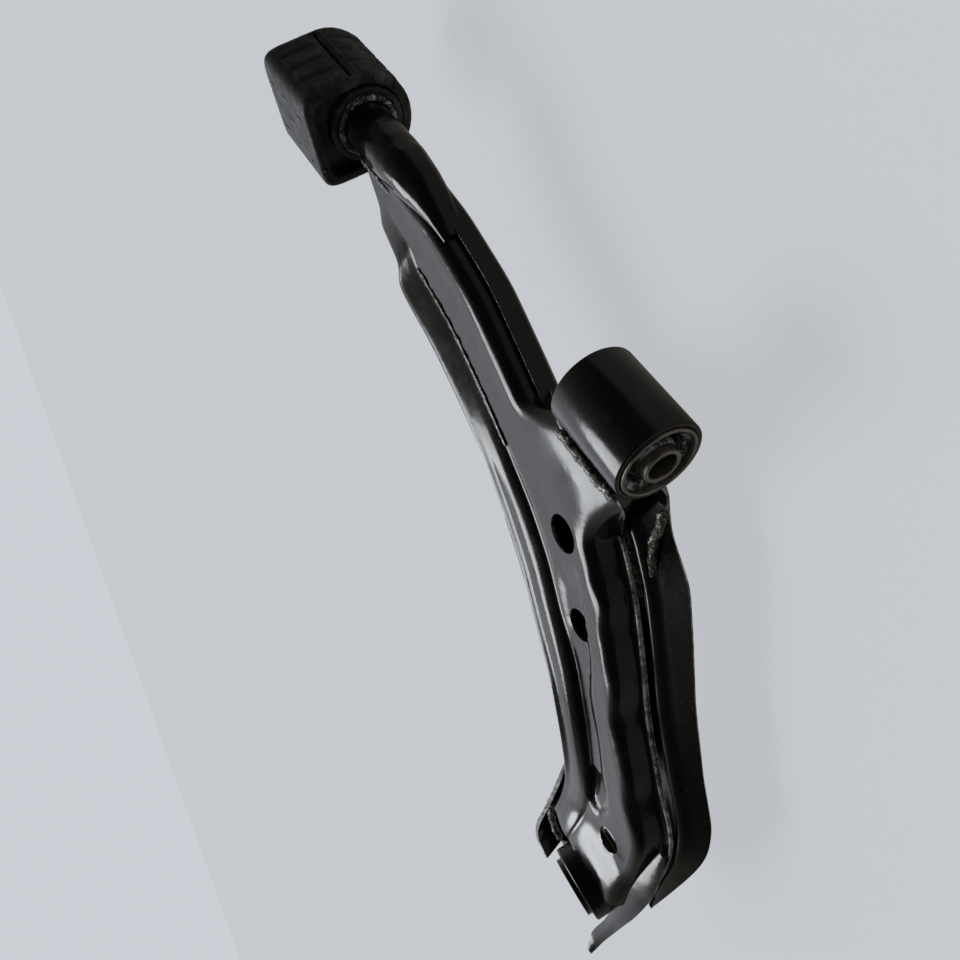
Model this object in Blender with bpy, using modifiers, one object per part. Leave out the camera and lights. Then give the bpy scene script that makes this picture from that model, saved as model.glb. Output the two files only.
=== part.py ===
"""Stamped-steel lower control arm with its bushes and ball joint.

Frame: origin on the hinge axis at the middle of the front bush. +Y runs along the hinge
axis to the rear bush, +X points inboard, and +Z is the side that carries the holes.
"""

import math

import bmesh
import bpy
from mathutils import Matrix, Vector

MM = 0.001
GAP = 0.3  # clearance between touching pieces

# Driving dimensions, in millimetres
SHEET = 3.0
HINGE_SPAN = 302.0  # front bush centre to rear bush centre
BEAM_DEPTH = 38.0  # floor of the upper shell to the outside of the lower shell
REAR_DEPTH = 29.0  # the same at the rear, where the beam narrows to the stub
WALL_UPPER = 19.0
WALL_LEAN = 2.0  # how far the inboard wall leans out
LIP_WIDTH = 32.0
LAP_GAP = 1.2  # between the two walls where they lap at the rear
LAP_TOP = 11.5  # floor to the top of the lap

FRONT_TUBE_OD = 45.0
FRONT_TUBE_LENGTH = 52.0
FRONT_TUBE_WALL = 2.6
FRONT_SLEEVE_WALL = 1.6
FRONT_INNER_OD = 19.0
FRONT_INNER_BORE = 14.5
FRONT_INNER_LENGTH = 58.0

STUB_DIAMETER = 30.0
STUB_START = HINGE_SPAN - 98.0
REAR_BUSH_LENGTH = 64.0
REAR_BUSH_WIDTH = 63.0
REAR_BUSH_RADIUS = 29.5
REAR_BUSH_BASE = 36.0  # hinge axis to the flat base
REAR_BUSH_TURN = math.radians(14.5)  # how far the flat base is turned about the hinge axis
REAR_RING_WALL = 3.7

# Holes in the floor: name, X, Y, diameter
HOLES = (
    ("hole_front", -104.0, 21.0, 23.0),
    ("hole_middle", -152.0, -9.0, 20.0),
    ("hole_outer", -284.0, -86.0, 18.0),
)

BALL_X, BALL_Y = -346.0, -86.0
BALL_TILT = math.radians(19.7)
RING_OD = 50.0
RING_BORE = 41.0
RING_TOP = 11.0
RING_BOTTOM = -20.0
HOUSING_TOP = 14.5
HOUSING_BOTTOM = -25.0
BALL_DIAMETER = 26.0
BALL_CENTRE = -8.0
STUD_TIP = -74.0
STUD_DIAMETER = 15.0
NECK = 6.0
BOOT_ROOM = 64.0  # hole in the lower shell that the boot swings in

# The plan below is drawn at this hinge span and this reach to the ball joint, and follows both
DRAWN_SPAN = 302.0
DRAWN_REACH = 346.0

# Stations of the beam: outboard edge, inboard edge, floor height, lip height, forward flange reach
STATIONS = (
    ((-16.0, 250.0), (-3.0, 246.0), 10.0, 0.0, 0.0),
    ((-33.0, 238.0), (-5.0, 226.0), 8.0, 0.0, 0.0),
    ((-45.0, 233.0), (-7.0, 219.0), 7.0, 0.0, 0.0),
    ((-54.0, 206.0), (-12.0, 188.0), 5.0, 0.0, 0.0),
    ((-67.0, 200.0), (-15.0, 178.0), 4.0, 1.0, 0.0),
    ((-80.0, 160.0), (-28.0, 136.0), 2.0, 4.0, 0.0),
    ((-96.0, 124.0), (-48.0, 98.0), 1.0, 7.0, 0.0),
    ((-112.0, 96.0), (-69.0, 60.0), 0.0, 8.0, 0.0),
    ((-134.0, 68.0), (-82.0, 22.0), 0.0, 8.0, 40.0),
    ((-156.0, 42.0), (-98.0, -2.0), 0.0, 8.0, 26.0),
    ((-182.0, 20.0), (-122.0, -22.0), 0.0, 8.0, 33.0),
    ((-210.0, -6.0), (-152.0, -40.0), 0.0, 8.0, 32.0),
    ((-240.0, -26.0), (-190.0, -60.0), 0.0, 8.0, 29.0),
    ((-266.0, -36.0), (-222.0, -82.0), 0.0, 6.0, 25.0),
    ((-290.0, -38.0), (-258.0, -108.0), 0.0, 3.0, 20.0),
    ((-328.0, -38.0), (-326.0, -114.0), 0.0, 2.0, 16.0),
)

BLACK_PAINT = ("black_paint", (0.012, 0.012, 0.014), 0.28, 0.0)
RUBBER = ("rubber", (0.018, 0.018, 0.018), 0.75, 0.0)
BARE_STEEL = ("bare_steel", (0.42, 0.42, 0.43), 0.35, 1.0)
WELD_METAL = ("weld_metal", (0.05, 0.045, 0.035), 0.5, 0.6)
PLASTIC = ("seat_plastic", (0.75, 0.74, 0.70), 0.45, 0.0)


def clear_scene():
    for old in list(bpy.data.objects):
        bpy.data.objects.remove(old, do_unlink=True)


def make_collection(name):
    made = bpy.data.collections.new(name)
    bpy.context.scene.collection.children.link(made)
    return made


def material(spec):
    name, colour, roughness, metallic = spec
    made = bpy.data.materials.get(name)
    if made is None:
        made = bpy.data.materials.new(name)
        made.use_nodes = True
        shader = made.node_tree.nodes["Principled BSDF"]
        shader.inputs["Base Color"].default_value = (*colour, 1.0)
        shader.inputs["Roughness"].default_value = roughness
        shader.inputs["Metallic"].default_value = metallic
    return made


def add_object(name, mesh, collection, spec=None, smooth=True):
    made = bpy.data.objects.new(name, mesh)
    collection.objects.link(made)
    if spec:
        mesh.materials.append(material(spec))
    if smooth:
        mesh.shade_smooth()
        mesh.set_sharp_from_angle(angle=math.radians(35))
    return made


def hide(cutter):
    cutter.hide_render = True
    cutter.display_type = "WIRE"


def boolean(target, other, operation="DIFFERENCE"):
    made = target.modifiers.new(other.name, "BOOLEAN")
    made.operation = operation
    made.object = other
    made.solver = "EXACT"


def mesh_from(name, points, faces):
    """A mesh of points in millimetres."""
    mesh = bpy.data.meshes.new(name)
    mesh.from_pydata([Vector(point) * MM for point in points], [], faces)
    build = bmesh.new()
    build.from_mesh(mesh)
    bmesh.ops.recalc_face_normals(build, faces=build.faces)
    build.to_mesh(mesh)
    build.free()
    return mesh


def sheet(name, rows, thickness, collection, spec):
    """A pressed sheet: rows of points across the blank, one row a station, thickened downwards."""
    across = len(rows[0])
    points = [point for row in rows for point in row]
    faces = []
    for i in range(len(rows) - 1):
        for j in range(across - 1):
            a = i * across + j
            faces.append((a, a + across, a + across + 1, a + 1))
    mesh = bpy.data.meshes.new(name)
    mesh.from_pydata([Vector(point) * MM for point in points], [], faces)
    made = add_object(name, mesh, collection, spec)
    solid = made.modifiers.new("thickness", "SOLIDIFY")
    solid.thickness = thickness * MM
    solid.offset = -1.0
    solid.use_even_offset = True
    solid.thickness_clamp = 1.0
    return made


def turned(name, profile, collection, spec, steps=28, axis=None):
    """A closed profile of (radius, height) pairs turned about Z, then placed by a matrix."""
    mesh = bpy.data.meshes.new(name)
    edges = [(i, (i + 1) % len(profile)) for i in range(len(profile))]
    mesh.from_pydata([(radius * MM, 0.0, height * MM) for radius, height in profile], edges, [])
    made = add_object(name, mesh, collection, spec, smooth=False)
    screw = made.modifiers.new("turn", "SCREW")
    screw.steps = steps
    screw.render_steps = steps
    screw.use_merge_vertices = True
    screw.merge_threshold = 0.00001
    screw.use_smooth_shade = True
    if axis is not None:
        made.matrix_world = axis
    return made


def ring_profile(inner, outer, low, high, ease=0.6):
    """A tube's section, down the outer side first, with eased corners."""
    return (
        (outer - ease, high),
        (outer, high - ease),
        (outer, low + ease),
        (outer - ease, low),
        (inner + ease, low),
        (inner, low + ease),
        (inner, high - ease),
        (inner + ease, high),
    )


def cylinder(name, radius, low, high, collection, matrix, sides=40):
    """A plain cutter or bar along Z of the matrix."""
    build = bmesh.new()
    bmesh.ops.create_cone(
        build,
        cap_ends=True,
        segments=sides,
        radius1=radius * MM,
        radius2=radius * MM,
        depth=(high - low) * MM,
    )
    bmesh.ops.translate(build, vec=(0, 0, (low + high) / 2 * MM), verts=build.verts)
    mesh = bpy.data.meshes.new(name)
    build.to_mesh(mesh)
    build.free()
    made = add_object(name, mesh, collection)
    made.matrix_world = matrix
    return made


def box(name, size, collection):
    """A block of the given size, centred on its origin."""
    build = bmesh.new()
    bmesh.ops.create_cube(build, size=MM)
    bmesh.ops.scale(build, vec=size, verts=build.verts)
    mesh = bpy.data.meshes.new(name)
    build.to_mesh(mesh)
    build.free()
    return add_object(name, mesh, collection, smooth=False)


def along_y(y=0.0, x=0.0, z=0.0):
    """A frame whose Z runs along the hinge axis."""
    return Matrix.Translation((x * MM, y * MM, z * MM)) @ Matrix.Rotation(-math.pi / 2, 4, "X")


def ball_frame():
    """A frame whose Z is the ball joint's axis, leaning outboard."""
    return Matrix.Translation((BALL_X * MM, BALL_Y * MM, 0.0)) @ Matrix.Rotation(-BALL_TILT, 4, "Y")


def mix(a, b, share):
    return a + (b - a) * share


def plan(x, y):
    """A point of the drawn plan, stretched with the reach and, behind the front bush, the hinge span."""
    return x * -BALL_X / DRAWN_REACH, y * HINGE_SPAN / DRAWN_SPAN if y > 0 else y


def across(station):
    (ax, ay), (bx, by) = plan(*station[0]), plan(*station[1])
    run = Vector((bx - ax, by - ay))
    return Vector((ax, ay)), Vector((bx, by)), run.normalized(), run.length


def upper_row(station):
    """Skirt, lip, step down to the floor, corner and inboard wall."""
    edge, corner, t, width = across(station)
    floor, lip = station[2], station[3]
    reach = min(LIP_WIDTH, 0.45 * width)
    round_off = min(6.0, 0.15 * width)
    steps = (
        (edge - t * 1.0, floor - WALL_UPPER + 6.0),
        (edge, floor + lip - 4.0),
        (edge + t * 0.1 * reach, floor + lip - 0.8),
        (edge + t * 0.3 * reach, floor + lip),
        (edge + t * 0.92 * reach, floor + lip - 0.5),
        (edge + t * (reach + 0.2 * round_off), floor),
        (edge + t * (0.5 * (width + reach)), floor),
        (corner - t * round_off, floor),
        (corner - t * 0.25 * round_off, floor - 1.5),
        (corner, floor - 6.0),
        (corner + t * WALL_LEAN, floor - WALL_UPPER),
    )
    return [(point.x, point.y, height) for point, height in steps]


def lower_row(station):
    """Outboard wall, bottom, then a lap wall at the rear or a rounded ridge and flange at the front."""
    edge, corner, t, width = across(station)
    floor, flange = station[2], station[4]
    share = min(flange / 22.0, 1.0)
    bottom = floor - mix(REAR_DEPTH, BEAM_DEPTH, share)
    inset = min(SHEET + 2.0, 0.3 * width)
    round_off = min(6.0, 0.15 * width)
    lap = WALL_LEAN + LAP_GAP + SHEET
    rear = [(lap, bottom + 6.0)]
    rear += [(lap, floor - drop) for drop in (19.0, 17.0, 14.0, LAP_TOP)]
    front = (
        (4.0, bottom + 1.0),
        (9.0, bottom + 7.0),
        (16.0, bottom + 8.0),
        (21.0, bottom + 4.0),
        (max(flange, 25.0), bottom + 3.5),
    )
    steps = [
        (edge + t * inset, floor - 9.0),
        (edge + t * inset, bottom + 7.0),
        (edge + t * (inset + round_off), bottom),
        (edge + t * (width * 0.6), bottom),
        (corner - t * 0.3 * round_off, bottom),
    ]
    for (rear_out, rear_z), (front_out, front_z) in zip(rear, front):
        steps.append((corner + t * mix(rear_out, front_out, share), mix(rear_z, front_z, share)))
    return [(point.x, point.y, height) for point, height in steps]


def make_shells(parts, cutters):
    upper_rows = [upper_row(station) for station in STATIONS]
    lower_rows = [lower_row(station)[::-1] for station in STATIONS]
    upper = sheet("upper_shell", upper_rows, SHEET, parts, BLACK_PAINT)
    lower = sheet("lower_shell", lower_rows, SHEET, parts, BLACK_PAINT)
    for name, x, y, bore in HOLES:
        place = Matrix.Translation(Vector((*plan(x, y), 0.0)) * MM)
        cutter = cylinder(name, bore / 2, -12.0, 20.0, cutters, place, 32)
        hide(cutter)
        boolean(upper, cutter)
    seat = cylinder("ring_seat", RING_OD / 2 + GAP, -60.0, 40.0, cutters, ball_frame(), 48)
    hide(seat)
    boolean(upper, seat)
    boolean(lower, seat)
    trim = box("corner_trim", (100.0, 40.0, 36.0), cutters)
    start, end = Vector((*plan(-262.0, -131.0), -39.0)), Vector((*plan(-329.0, -114.0), -39.0))
    along = (end - start).to_track_quat("X", "Z").to_matrix().to_4x4()
    trim.matrix_world = Matrix.Translation((start + end) / 2 * MM) @ along
    trim.matrix_world = trim.matrix_world @ Matrix.Translation((0.0, 20.0 * MM, 0.0))
    hide(trim)
    boolean(lower, trim)
    room = cylinder("boot_room", BOOT_ROOM / 2, -90.0, BALL_CENTRE - 8.0, cutters, ball_frame(), 48)
    hide(room)
    boolean(lower, room)
    stub = cylinder(
        "stub_seat", STUB_DIAMETER / 2 + GAP, STUB_START - 4.0, HINGE_SPAN, cutters, along_y(), 40
    )
    hide(stub)
    boolean(upper, stub)
    boolean(lower, stub)


def make_ears(parts):
    # Ear behind the ball joint: X, Y, low edge, high edge
    ear = (
        (-270.0, -31.0, -22.0, 5.0),
        (-290.0, -31.0, -22.0, 5.0),
        (-330.0, -30.5, -24.0, 7.0),
        (-372.0, -29.0, -24.0, 8.0),
        (-392.0, -33.0, -21.0, 6.0),
        (-402.0, -44.0, -17.0, 3.0),
    )
    rows = [[(*plan(x, y), mix(low, high, share)) for share in (0.0, 0.5, 1.0)] for x, y, low, high in ear]
    sheet("outer_rear_ear", rows, SHEET, parts, BLACK_PAINT)
    # Tongue in front of the ball joint: X, inner Y, outer Y, height
    tongue = (
        (-268.0, -115.5, -126.0, -3.0),
        (-297.0, -117.5, -124.5, -3.0),
        (-326.0, -118.5, -123.5, -3.0),
        (-345.0, -113.5, -121.5, -3.0),
        (-370.0, -110.0, -118.5, -2.5),
        (-392.0, -108.0, -117.5, -1.0),
        (-404.0, -107.0, -117.0, 1.0),
        (-413.0, -110.0, -116.5, 5.0),
    )
    rows = []
    for x, inner, outer, z in tongue:
        rows.append([(*plan(x, mix(inner, outer, share)), z) for share in (0.0, 0.5, 1.0)])
    sheet("outer_front_flange", rows, SHEET, parts, BLACK_PAINT)


def make_front_bush(parts):
    radius = FRONT_TUBE_OD / 2
    half = FRONT_TUBE_LENGTH / 2
    sleeve = radius - FRONT_TUBE_WALL - GAP
    rubber = sleeve - FRONT_SLEEVE_WALL - GAP
    frame = along_y()
    tube = ring_profile(radius - FRONT_TUBE_WALL, radius, -half, half)
    turned("front_bush_housing", tube, parts, BLACK_PAINT, 36, frame)
    turned(
        "front_bush_outer_sleeve",
        ring_profile(sleeve - FRONT_SLEEVE_WALL, sleeve, -half - 1.0, half + 1.0, 0.4),
        parts,
        BARE_STEEL,
        36,
        frame,
    )
    inner = FRONT_INNER_OD / 2
    bore = inner + GAP
    turned(
        "front_bush_rubber",
        (
            (rubber - 1.0, half - 1.5),
            (rubber, half - 3.0),
            (rubber, 3.0 - half),
            (rubber - 1.0, 1.5 - half),
            (mix(bore, rubber, 0.5), 5.0 - half),
            (bore + 1.5, 1.0 - half),
            (bore, 1.5 - half),
            (bore, half - 1.5),
            (bore + 1.5, half - 1.0),
            (mix(bore, rubber, 0.5), half - 5.0),
        ),
        parts,
        RUBBER,
        28,
        frame,
    )
    inner_half = FRONT_INNER_LENGTH / 2
    turned(
        "front_bush_inner_sleeve",
        ring_profile(FRONT_INNER_BORE / 2, inner, -inner_half, inner_half, 0.8),
        parts,
        BARE_STEEL,
        28,
        frame,
    )


def make_saddle(parts):
    """Curved plate from the floor of the beam up to the front bush housing, and the web below it."""
    tube = FRONT_TUBE_OD / 2 + GAP
    lines = ((46.0, -75.0), (27.0, -81.0), (8.0, -92.0), (-8.0, -101.0), (-20.0, -104.0))
    rows = []
    grip = math.radians(142.0)
    for y, start in lines:
        start, y = plan(start, y)
        first = start + SHEET + 6.0
        rows.append(
            [
                (first, y, -2.0),
                (mix(first, -tube - 17.2, 0.45), y, -1.6),
                (min(-tube - 13.2, first + 34.0), y, 0.5),
                (-tube - 4.7, y, 6.0),
                (tube * math.cos(grip) - 3.4, y, tube * math.sin(grip) + 1.8),
            ]
        )
    sheet("bush_saddle", rows, SHEET, parts, BLACK_PAINT)
    web = []
    for y in (7.0, -1.0, -9.0, -18.0):
        profile = ((3.6, -3.0), (5.2, -12.0), (14.2, -21.5), (25.2, -26.5))
        web.append([(-tube - out, y, z) for out, z in profile])
    sheet("bush_web", web, SHEET, parts, BLACK_PAINT)


def make_stub(parts):
    radius = STUB_DIAMETER / 2
    end = HINGE_SPAN + REAR_BUSH_LENGTH / 2 + 2.0
    turned(
        "rear_stub",
        (
            (0.0, end),
            (radius - 2.0, end),
            (radius, end - 2.0),
            (radius, STUB_START),
            (radius - 2.0, STUB_START - 2.0),
            (0.0, STUB_START - 2.0),
        ),
        parts,
        BLACK_PAINT,
        28,
        along_y(),
    )


def d_outline(grow=0.0):
    """Points round the D: a round back on the hinge axis and a flat base, turned about the axis."""
    radius, half, base = REAR_BUSH_RADIUS + grow, REAR_BUSH_WIDTH / 2 + grow, REAR_BUSH_BASE + grow
    turns, corner = 20, 5.0
    points = []
    for i in range(turns + 1):
        angle = math.pi + math.pi * i / turns
        points.append((radius * math.cos(angle), radius * math.sin(angle)))
    points += [(half, base - corner), (half - corner * 0.3, base - corner * 0.3), (half - corner, base)]
    points += [(corner - half, base), (corner * 0.3 - half, base - corner * 0.3), (-half, base - corner)]
    c, d = math.cos(REAR_BUSH_TURN), math.sin(REAR_BUSH_TURN)
    return [(x * c - z * d, x * d + z * c) for x, z in points]


def make_rear_bush(parts, cutters):
    ring = STUB_DIAMETER / 2 + GAP + REAR_RING_WALL
    half = REAR_BUSH_LENGTH / 2
    count = len(d_outline())
    points, faces = [], []
    layers = ((-half, -1.6), (-half + 1.6, 0.0), (half - 1.6, 0.0), (half, -1.6))
    for y, grow in layers:
        points += [(x, HINGE_SPAN + y, z) for x, z in d_outline(grow)]
    for layer in range(len(layers) - 1):
        for i in range(count):
            a, b = layer * count + i, layer * count + (i + 1) % count
            faces.append((a, b, b + count, a + count))
    faces.append(tuple(range(count)))
    faces.append(tuple(range((len(layers) - 1) * count, len(layers) * count)))
    body = add_object("rear_bush_body", mesh_from("rear_bush_body", points, faces), parts, RUBBER)
    bore = cylinder("rear_bush_bore", ring + GAP, HINGE_SPAN - 60, HINGE_SPAN + 60, cutters, along_y(), 40)
    hide(bore)
    boolean(body, bore)
    knife = box("rear_bush_slit", (60.0, 2.0 * REAR_BUSH_LENGTH, 0.8), cutters)
    turn = Matrix.Rotation(-REAR_BUSH_TURN, 4, "Y") @ Matrix.Translation((46 * MM, 0, 4 * MM))
    knife.matrix_world = Matrix.Translation((0, HINGE_SPAN * MM, 0)) @ turn
    hide(knife)
    boolean(body, knife)
    turned(
        "rear_bush_inner_ring",
        ring_profile(STUB_DIAMETER / 2 + GAP, ring, HINGE_SPAN - half - 1.5, HINGE_SPAN + half + 1.5),
        parts,
        BARE_STEEL,
        28,
        along_y(),
    )


def make_ball_joint(parts):
    frame = ball_frame()
    outer, bore = RING_OD / 2, RING_BORE / 2
    drum = ring_profile(bore, outer, RING_BOTTOM, RING_TOP, 1.0)
    turned("ball_joint_ring", drum, parts, BLACK_PAINT, 36, frame)
    housing = bore - GAP
    seat_outer = BALL_DIAMETER / 2 + 3.0
    cavity_top, cavity_bottom = BALL_CENTRE + BALL_DIAMETER / 2 + 3.0, HOUSING_BOTTOM
    grooves = []
    height = HOUSING_TOP
    cap = RING_OD / 2 - 5.5
    for _ in range(2):
        grooves += [(cap, height - 0.2), (cap, height - 1.0)]
        grooves += [(cap - 0.8, height - 1.2), (cap - 0.8, height - 1.5)]
        height -= 1.6
    turned(
        "ball_joint_housing",
        (
            (0.0, HOUSING_TOP),
            (cap - 0.6, HOUSING_TOP),
            *grooves,
            (housing, RING_TOP - 0.6),
            (housing, HOUSING_BOTTOM + 1.0),
            (housing - 1.0, HOUSING_BOTTOM),
            (seat_outer + GAP, cavity_bottom),
            (seat_outer + GAP, cavity_top),
            (0.0, cavity_top),
        ),
        parts,
        BARE_STEEL,
        36,
        frame,
    )
    ball = BALL_DIAMETER / 2
    shell = ball + GAP
    mouth_drop = 7.5
    low = BALL_CENTRE - mouth_drop
    inside = []
    steps = 10
    mouth = -math.asin(mouth_drop / shell)
    for i in range(steps + 1):
        angle = mix(mouth, math.pi / 2, i / steps)
        inside.append((max(shell * math.cos(angle), 0.0), BALL_CENTRE + shell * math.sin(angle)))
    inside[-1] = (2.5, inside[-1][1])
    seat_top = cavity_top - GAP
    turned(
        "ball_joint_seat",
        (
            (2.5, seat_top),
            (seat_outer - 0.8, seat_top),
            (seat_outer, seat_top - 0.8),
            (seat_outer, low),
            *inside,
        ),
        parts,
        PLASTIC,
        24,
        frame,
    )
    neck, thread = NECK, STUD_DIAMETER / 2 - 1.5
    profile = []
    joint = math.asin(neck / ball)
    for i in range(steps + 1):
        angle = mix(0.0, math.pi - joint, i / steps)
        profile.append((ball * math.sin(angle), BALL_CENTRE + ball * math.cos(angle)))
    profile[0] = (0.0, BALL_CENTRE + ball)
    taper_start = BALL_CENTRE - 28.0
    profile += [
        (neck, taper_start + 4.0),
        (STUD_DIAMETER / 2 + 1.0, taper_start),
        (STUD_DIAMETER / 2 + 1.0, taper_start - 3.0),
        (STUD_DIAMETER / 2 - 0.5, taper_start - 20.0),
        (thread, taper_start - 21.0),
        (thread, STUD_TIP + 1.2),
        (thread - 1.2, STUD_TIP),
        (0.0, STUD_TIP),
    ]
    turned("ball_stud", profile, parts, BARE_STEEL, 24, frame)


def boot_profile():
    """Dust boot from the housing's rim to the stud, with one soft fold."""
    top = HOUSING_BOTTOM - GAP
    low = BALL_CENTRE - 29.0
    wall = 1.6
    outer = (
        (12.5, top - 6.8),
        (15.0, top - 8.3),
        (14.8, low + 3.0),
        (11.2, low + 0.6),
        (11.2, low - 4.5),
    )
    return outer, wall


def make_boot(parts):
    frame = ball_frame()
    outer, wall = boot_profile()
    stem = STUD_DIAMETER / 2 + 1.0 + GAP
    inner = [(radius - wall, height) for radius, height in outer[:-2]]
    inner.append((stem, outer[-2][1] + 0.5))
    inner.append((stem, outer[-1][1]))
    turned("ball_joint_boot", tuple(outer) + tuple(reversed(inner)), parts, RUBBER, 24, frame)
    low = outer[-1][1]
    clip = ring_profile(11.2 + GAP, 12.6, low + 0.4, low + 2.0, 0.3)
    turned("boot_small_clip", clip, parts, BARE_STEEL, 24, frame)
    rim = RING_BORE / 2 - GAP
    turned(
        "housing_snap_ring",
        ring_profile(rim + GAP, rim + 3.2, RING_BOTTOM - GAP - 1.8, RING_BOTTOM - GAP, 0.3),
        parts,
        BARE_STEEL,
        28,
        frame,
    )


def bead(name, points, radius, parts):
    """A weld bead: a short fat curve laid along a seam."""
    curve = bpy.data.curves.new(name, "CURVE")
    curve.dimensions = "3D"
    curve.bevel_depth = radius * MM
    curve.bevel_resolution = 2
    curve.use_fill_caps = True
    spline = curve.splines.new("POLY")
    spline.points.add(len(points) - 1)
    for point, place in zip(spline.points, points):
        point.co = (*(value * MM for value in place), 1.0)
    made = bpy.data.objects.new(name, curve)
    parts.objects.link(made)
    curve.materials.append(material(WELD_METAL))
    return made


def make_welds(parts):
    radius = 2.2
    grip = math.radians(137.0)
    reach = FRONT_TUBE_OD / 2 + radius + GAP
    x, z = reach * math.cos(grip) - 1.0, reach * math.sin(grip) + 3.4
    top = [(x, y, z) for y in (22.0, 12.0, 2.0, -8.0, -18.0, -24.0)]
    bead("weld_saddle", top, radius, parts)
    seam = []
    for station in STATIONS[3:8]:
        _, corner, t, _ = across(station)
        place = corner + t * (WALL_LEAN + 1.6)
        seam.append((place.x, place.y, station[2] - LAP_TOP + 3.4))
    bead("weld_rear_seam", seam, 1.6, parts)
    front = []
    for station in STATIONS[9:13]:
        _, corner, t, _ = across(station)
        place = corner + t * (WALL_LEAN + 4.6)
        front.append((place.x, place.y, station[2] - WALL_UPPER - 4.6))
    bead("weld_front_seam", front, 2.2, parts)
    turn = math.radians(124.0)
    out = STUB_DIAMETER / 2 + radius + GAP
    neck = []
    for along in (12.0, 20.0, 28.0, 36.0, 44.0):
        neck.append((out * math.cos(turn), STUB_START + along, out * math.sin(turn) + 0.4))
    bead("weld_neck", neck, radius, parts)
    ring = []
    lift = 2.6
    for degrees in range(-60, 31, 15):
        angle = math.radians(degrees)
        reach = RING_OD / 2 + 2.0 + 2 * GAP
        middle = BALL_X - lift * math.tan(BALL_TILT)
        x = middle + reach / math.cos(BALL_TILT) * math.cos(angle)
        ring.append((x, BALL_Y + reach * math.sin(angle), lift))
    bead("weld_ring", ring, 1.8, parts)


def main():
    clear_scene()
    parts = make_collection("control_arm")
    cutters = make_collection("cutters")
    make_shells(parts, cutters)
    make_ears(parts)
    make_front_bush(parts)
    make_saddle(parts)
    make_stub(parts)
    make_rear_bush(parts, cutters)
    make_ball_joint(parts)
    make_boot(parts)
    make_welds(parts)


main()
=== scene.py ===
import math

import bmesh
import bpy
import numpy as np
from mathutils import Matrix, Vector, noise


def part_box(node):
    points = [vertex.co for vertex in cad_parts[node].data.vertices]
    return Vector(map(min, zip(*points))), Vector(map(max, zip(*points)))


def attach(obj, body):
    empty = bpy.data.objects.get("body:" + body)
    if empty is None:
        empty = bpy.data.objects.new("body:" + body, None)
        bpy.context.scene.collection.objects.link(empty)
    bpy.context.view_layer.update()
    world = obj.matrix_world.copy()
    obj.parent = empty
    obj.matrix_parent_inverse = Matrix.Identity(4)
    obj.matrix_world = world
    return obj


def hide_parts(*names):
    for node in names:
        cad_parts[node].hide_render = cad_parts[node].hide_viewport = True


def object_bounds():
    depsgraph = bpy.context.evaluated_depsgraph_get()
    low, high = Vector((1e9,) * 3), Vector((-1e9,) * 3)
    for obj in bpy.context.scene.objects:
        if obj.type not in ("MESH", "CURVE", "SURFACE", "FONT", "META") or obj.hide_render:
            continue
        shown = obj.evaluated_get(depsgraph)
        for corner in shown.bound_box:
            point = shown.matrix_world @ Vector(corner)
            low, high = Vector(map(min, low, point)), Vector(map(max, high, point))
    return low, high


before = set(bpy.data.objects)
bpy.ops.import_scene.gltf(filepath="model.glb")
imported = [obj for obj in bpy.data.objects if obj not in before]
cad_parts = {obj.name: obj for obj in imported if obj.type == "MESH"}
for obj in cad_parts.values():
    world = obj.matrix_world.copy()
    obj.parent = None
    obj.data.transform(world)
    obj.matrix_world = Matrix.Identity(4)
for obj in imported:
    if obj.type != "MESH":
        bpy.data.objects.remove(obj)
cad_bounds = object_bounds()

MM = 0.001
UP = Vector((0, 0, 1))

# The shape of the arm, in millimetres, as the CAD model has it
SHEET = 2.7
LAP_SHEET = 1.9  # the lower stamping, thinner so that it clears the wall it laps
GAP = 0.3  # clearance between the bush's sleeves and its rubber
HINGE_SPAN = 1000 * (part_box("rear_bush_inner_ring")[0].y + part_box("rear_bush_inner_ring")[1].y) / 2
WALL_DROP = 19.0  # floor to the foot of the inboard wall
LIP_WIDTH = 32.0  # outboard edge to the flat floor
CORNER_EASE = 6.0  # rounding of the stampings' corners
BEAM_DEPTH, REAR_DEPTH = 38.0, 29.0  # floor to the bottom of the lower stamping
TUBE_RADIUS = 1000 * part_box("front_bush_housing")[1].x
TUBE_HALF = 1000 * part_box("front_bush_housing")[1].y
TUBE_WALL, OUTER_SLEEVE_WALL = 2.6, 1.6
INNER_SLEEVE_BORE = 7.25
STUB_RADIUS = 15.0
STUB_SEAT = (205.0, 300.0)  # along the hinge axis, where the shells are cut for the stub
BALL_PLACE = Vector((-346.0, -86.0, 0.0))
BALL_TILT = math.radians(19.7)
BALL_AXIS = Vector((-math.sin(BALL_TILT), 0.0, math.cos(BALL_TILT)))
DRUM_RADIUS = 25.0
DRUM_SEAT = 25.4  # radius of the shells' cut for the drum
BOOT_ROOM = 32.0  # radius of the lower stamping's cut for the boot
BUSH_TURN = math.radians(14.5)  # how far the flat base is turned about the hinge axis
BUSH_RADIUS, BUSH_HALF_WIDTH, BUSH_BASE = 29.5, 31.5, 36.0
BUSH_HALF_LENGTH = 500 * (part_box("rear_bush_body")[1].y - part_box("rear_bush_body")[0].y)
HOLES = ((-104.0, 21.0, 23.0), (-152.0, -9.0, 20.0), (-284.0, -86.0, 18.0))  # x, y, diameter

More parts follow.
